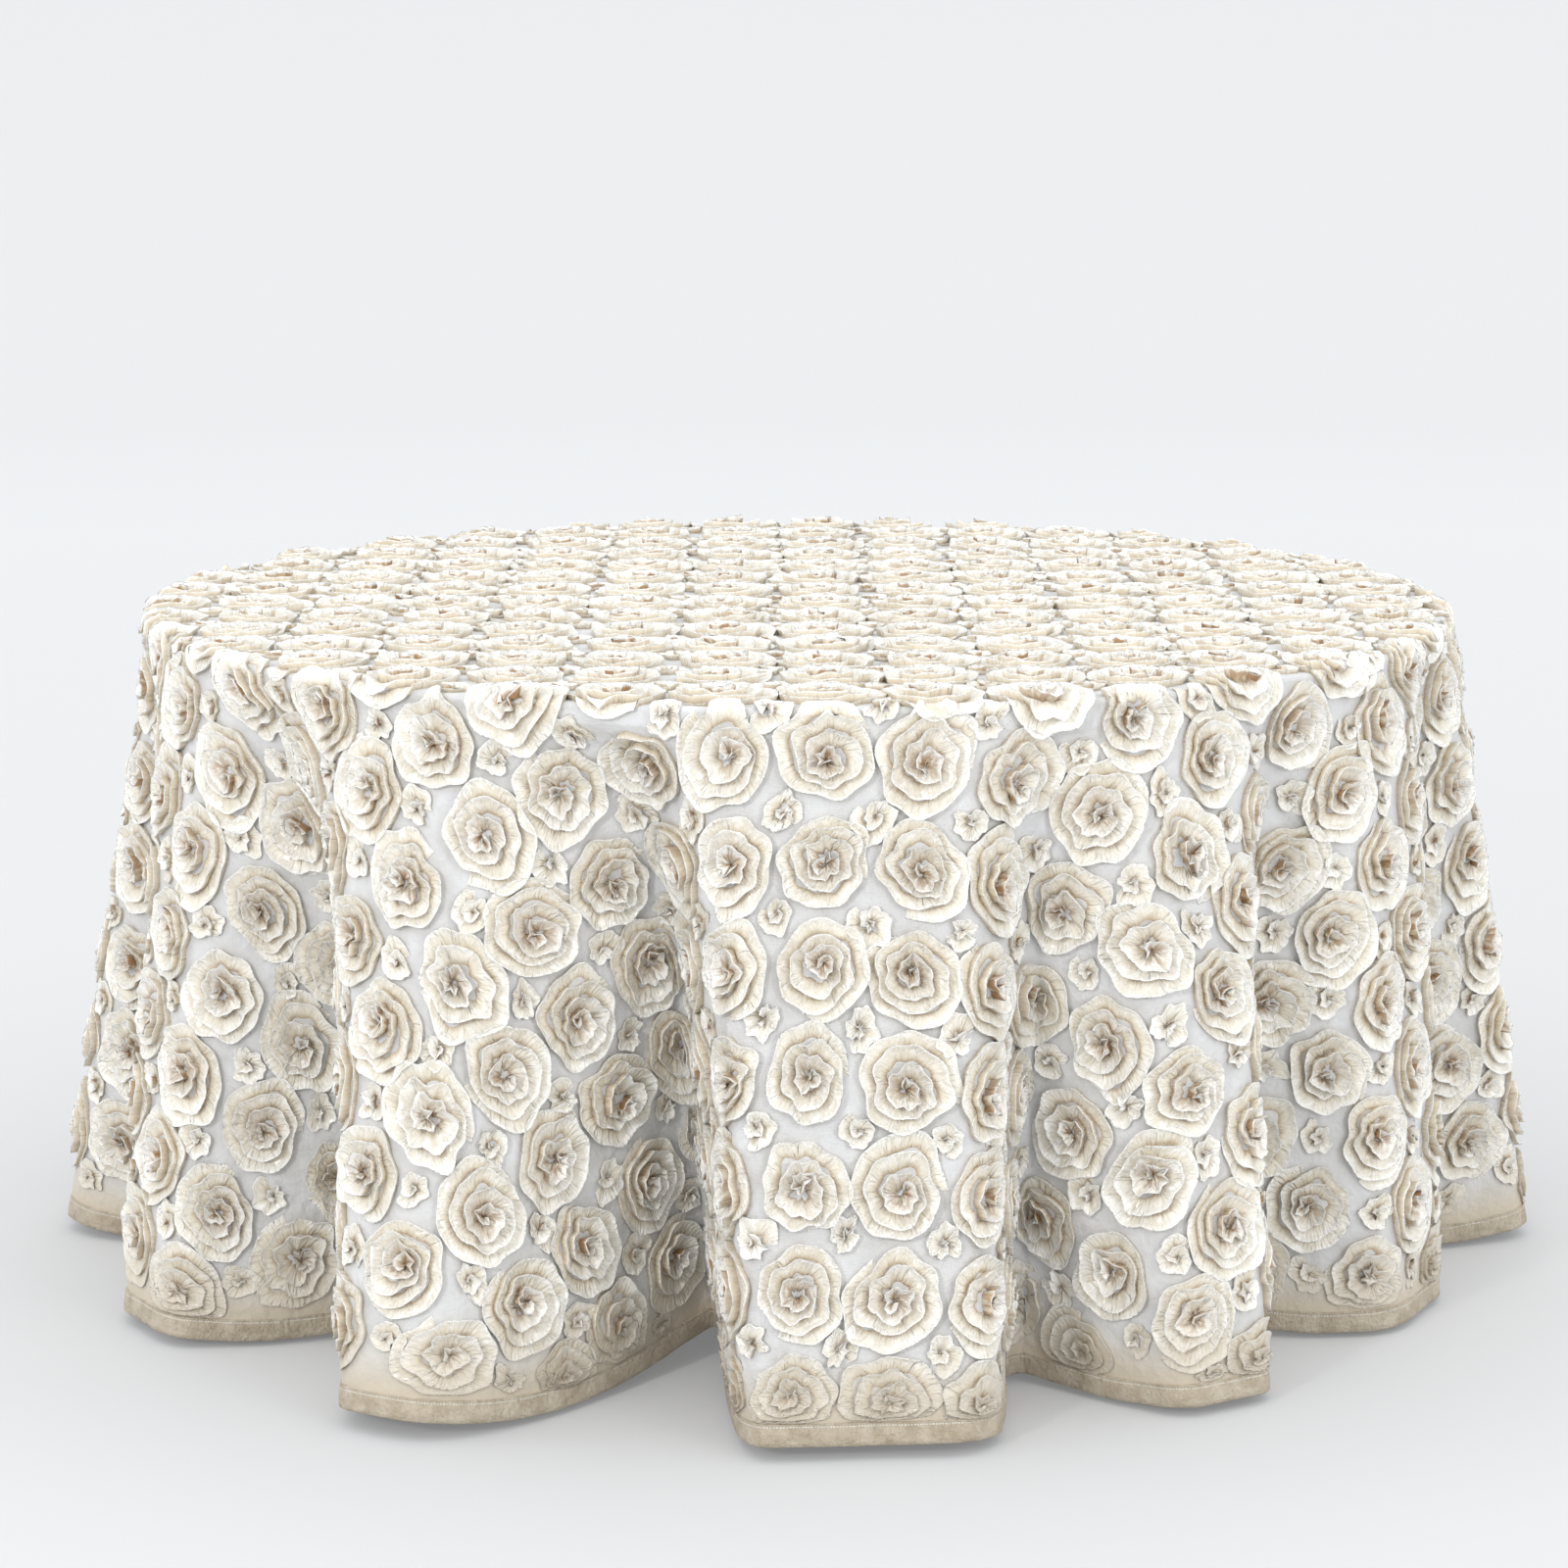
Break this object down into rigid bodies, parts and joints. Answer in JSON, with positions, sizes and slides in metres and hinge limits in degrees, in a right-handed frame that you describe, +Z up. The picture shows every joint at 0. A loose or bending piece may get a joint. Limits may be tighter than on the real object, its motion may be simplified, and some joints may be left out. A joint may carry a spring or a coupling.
{
  "type": "round rosette tablecloth on folding table",
  "caption": "Floor-length round tablecloth of satin ribbon rosettes on mesh, draped in deep folds over a round plywood table whose leg frames fold under it.",
  "frame": {"origin": "on the floor under the centre of the table top", "axes": "+Z up, -Y towards the front, the two leg frames stand apart along X"},
  "size_m": [1.7764, 1.7752, 0.7869],
  "materials": {
    "plywood": "sealed birch plywood",
    "edge_vinyl": "soft vinyl edge moulding",
    "frame_paint": "hammered dark powder coat on steel tube",
    "zinc_steel": "zinc-plated pressed steel",
    "black_plastic": "moulded black plastic",
    "ground_mesh": "fine knitted mesh with a faint sheen",
    "hem_fabric": "turned and stitched satin hem",
    "satin_ribbon": "creased ivory satin ribbon"
  },
  "bodies": {
    "table": {"tabletop": "plywood", "edge_band": "edge_vinyl", "pivot_brackets_right": "zinc_steel", "pivot_brackets_left": "zinc_steel", "bracket_screws": "zinc_steel", "stay_anchors_right": "zinc_steel", "stay_anchors_left": "zinc_steel", "anchor_screws": "zinc_steel", "anchor_rivets": "zinc_steel", "ground_cloth": "ground_mesh", "hem_binding": "hem_fabric", "large_rosettes_top": "satin_ribbon", "large_rosettes_drop": "satin_ribbon", "small_rosettes_top": "satin_ribbon", "small_rosettes_drop": "satin_ribbon"},
    "leg_frame_right": {"leg_tubes_right": "frame_paint", "pivot_tube_right": "frame_paint", "crossbar_right": "frame_paint", "foot_caps_right": "black_plastic", "tube_plugs_right": "black_plastic", "leg_rivets_right": "zinc_steel"},
    "upper_stay_pair_right": {"upper_stays_right": "zinc_steel", "knuckle_rivets_right": "zinc_steel"},
    "lower_stay_pair_right": {"lower_stays_right": "zinc_steel"},
    "leg_frame_left": {"leg_tubes_left": "frame_paint", "pivot_tube_left": "frame_paint", "crossbar_left": "frame_paint", "foot_caps_left": "black_plastic", "tube_plugs_left": "black_plastic", "leg_rivets_left": "zinc_steel"},
    "upper_stay_pair_left": {"upper_stays_left": "zinc_steel", "knuckle_rivets_left": "zinc_steel"},
    "lower_stay_pair_left": {"lower_stays_left": "zinc_steel"}
  },
  "joints": [
    {"name": "leg_fold_right", "type": "hinge", "parent": "table", "child": "leg_frame_right", "pos_m": [0.33, 0, 0.713], "axis": [0, 1, 0], "range_deg": [0, 95]},
    {"name": "upper_stay_turn_right", "type": "hinge", "parent": "table", "child": "upper_stay_pair_right", "pos_m": [-0.02, 0, 0.713], "axis": [0, 1, 0], "range_deg": [-40.15, 0]},
    {"name": "lower_stay_turn_right", "type": "hinge", "parent": "leg_frame_right", "child": "lower_stay_pair_right", "pos_m": [0.35789, 0, 0.39422], "axis": [0, 1, 0], "range_deg": [0, 44.85]},
    {"name": "leg_fold_left", "type": "hinge", "parent": "table", "child": "leg_frame_left", "pos_m": [-0.33, 0, 0.677], "axis": [0, -1, 0], "range_deg": [0, 95]},
    {"name": "upper_stay_turn_left", "type": "hinge", "parent": "table", "child": "upper_stay_pair_left", "pos_m": [0.02, 0, 0.677], "axis": [0, -1, 0], "range_deg": [-40.15, 0]},
    {"name": "lower_stay_turn_left", "type": "hinge", "parent": "leg_frame_left", "child": "lower_stay_pair_left", "pos_m": [-0.35789, 0, 0.35822], "axis": [0, -1, 0], "range_deg": [0, 44.85]}
  ],
  "couplings": [
    {"joint": "upper_stay_turn_right", "follows": "leg_fold_right", "ratio": -0.42264},
    {"joint": "lower_stay_turn_right", "follows": "leg_fold_right", "ratio": 0.4721},
    {"joint": "upper_stay_turn_left", "follows": "leg_fold_left", "ratio": -0.42264},
    {"joint": "lower_stay_turn_left", "follows": "leg_fold_left", "ratio": 0.4721}
  ]
}
